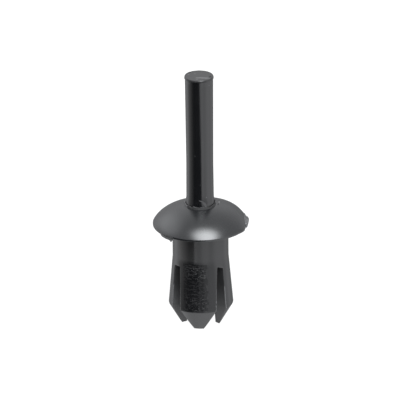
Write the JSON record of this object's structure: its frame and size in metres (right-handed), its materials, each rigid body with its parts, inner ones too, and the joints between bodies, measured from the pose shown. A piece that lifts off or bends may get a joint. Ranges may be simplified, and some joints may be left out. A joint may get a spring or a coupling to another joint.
{
  "type": "plastic push rivet",
  "caption": "Push-in plastic rivet with a domed head, slotted flaring legs and a round drive pin that is pressed flush to lock it.",
  "frame": {"origin": "on the rivet's axis, in the plane where the underside of the head seats on the panel", "axes": "+Z along the axis, up through the head and the drive pin; the wide legs lie along Y and the narrow legs along X"},
  "size_m": [0.0105, 0.0104, 0.0293],
  "materials": {
    "body": "satin black moulded nylon",
    "pin": "satin black moulded nylon"
  },
  "bodies": {
    "body": {"rivet_body": "body"},
    "pin": {"drive_pin": "pin"}
  },
  "joints": [
    {"name": "pin_drive", "type": "slide", "parent": "body", "child": "pin", "axis": [0, 0, -1], "range_m": [0, 0.0149]}
  ]
}
